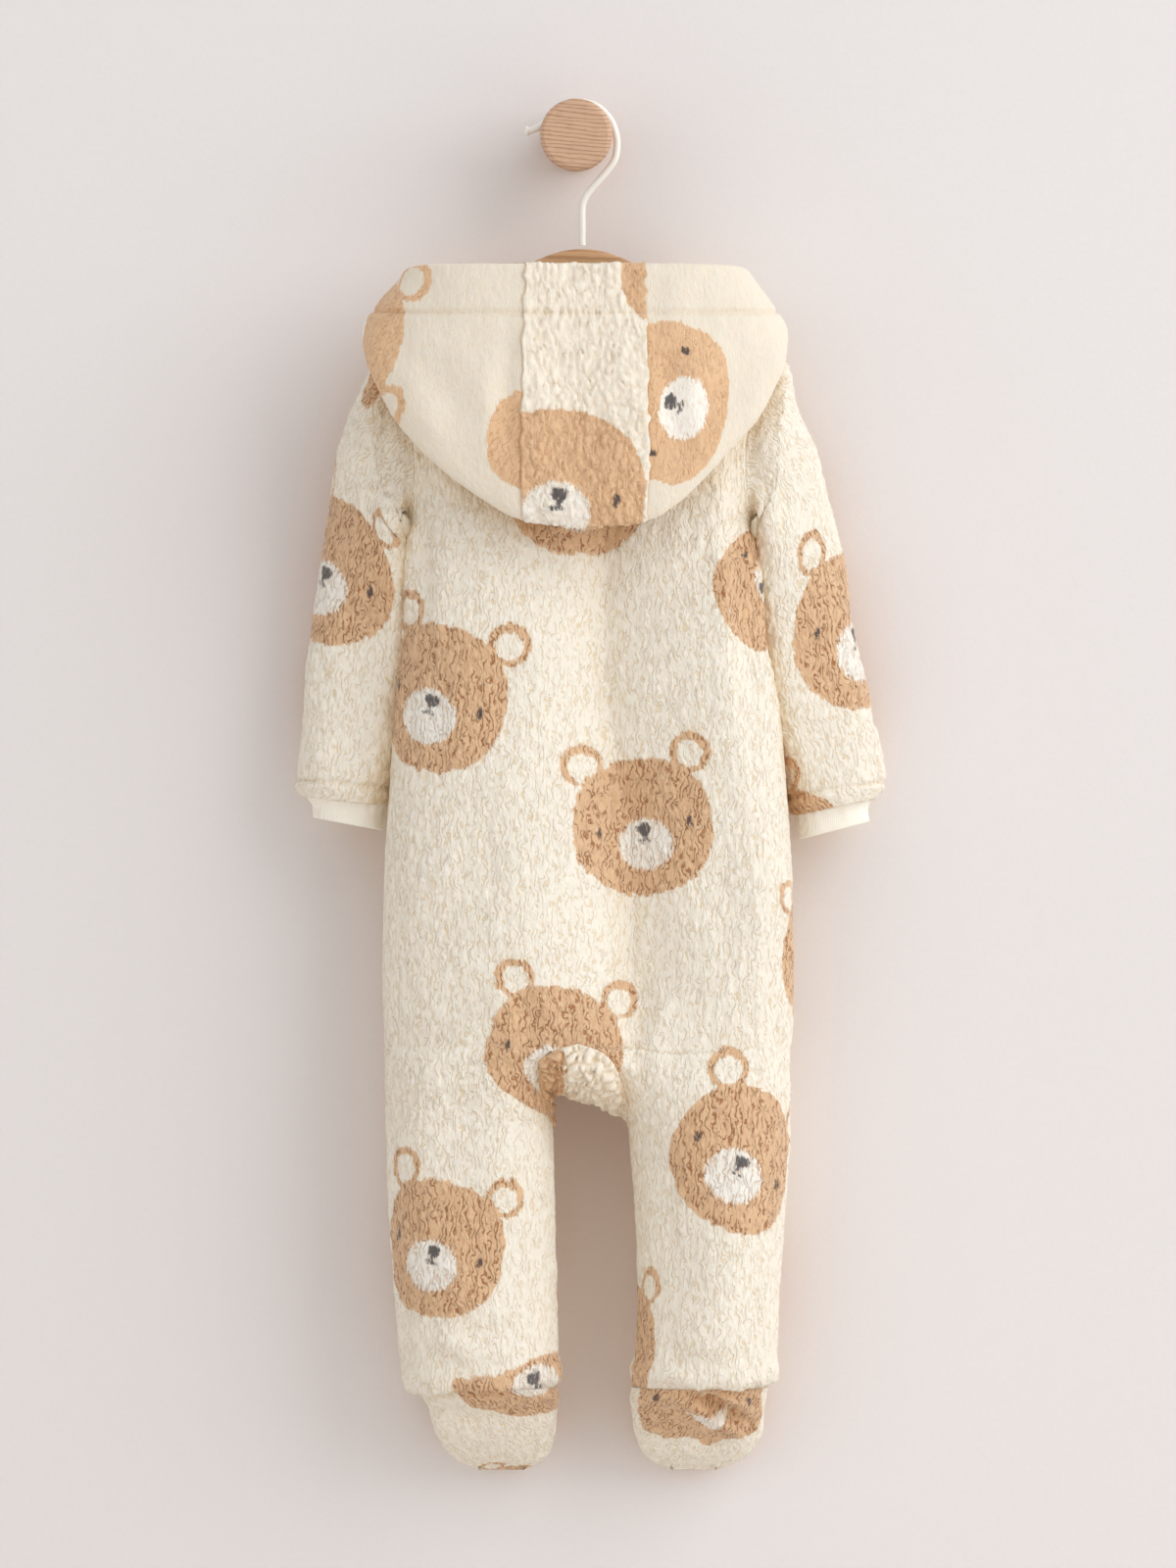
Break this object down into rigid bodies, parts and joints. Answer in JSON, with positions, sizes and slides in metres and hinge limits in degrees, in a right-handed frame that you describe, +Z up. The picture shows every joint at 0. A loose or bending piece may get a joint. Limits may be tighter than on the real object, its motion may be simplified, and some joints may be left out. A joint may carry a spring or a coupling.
{
  "type": "baby pramsuit on a hanger and wall peg",
  "caption": "Footed baby all-in-one in thick teddy fleece with a dropped hood, on a wooden hanger that hangs from a round wall peg.",
  "frame": {"origin": "centre of the peg's flat back face, where it meets the wall", "axes": "+Z up, +Y into the wall, so the garment's back faces -Y, and +X is the garment's own right"},
  "size_m": [0.3245, 0.1191, 0.7564],
  "materials": {
    "fleece": "curly teddy fleece pile, cream with tan bear heads",
    "jersey": "plain cream jersey",
    "zip_tape": "cream tape with moulded teeth",
    "zip_metal": "satin lacquered zip metal",
    "hanger_wood": "satin clear-lacquered beech",
    "hook_enamel": "warm white enamel on wire",
    "peg_wood": "oiled ash with open grain"
  },
  "bodies": {
    "garment": {"back": "fleece", "crotch_gusset": "fleece", "cuff_left": "jersey", "cuff_right": "jersey", "foot_top_left": "fleece", "foot_top_right": "fleece", "front_left": "fleece", "front_right": "fleece", "hanger_bar": "hanger_wood", "hanger_hook": "hook_enamel", "hood_centre": "fleece", "hood_left": "fleece", "hood_right": "fleece", "sleeve_left": "fleece", "sleeve_right": "fleece", "sole_left": "fleece", "sole_right": "fleece", "wall_peg": "peg_wood", "zip_chain": "zip_tape", "zip_slider": "zip_metal"},
    "pull_tab": {"zip_pull": "zip_metal"}
  },
  "joints": [
    {"name": "pull_tab_hinge", "type": "hinge", "parent": "garment", "child": "pull_tab", "pos_m": [0.002, -0.0106, -0.124], "axis": [1, 0, 0], "range_deg": [-4, 26]}
  ]
}
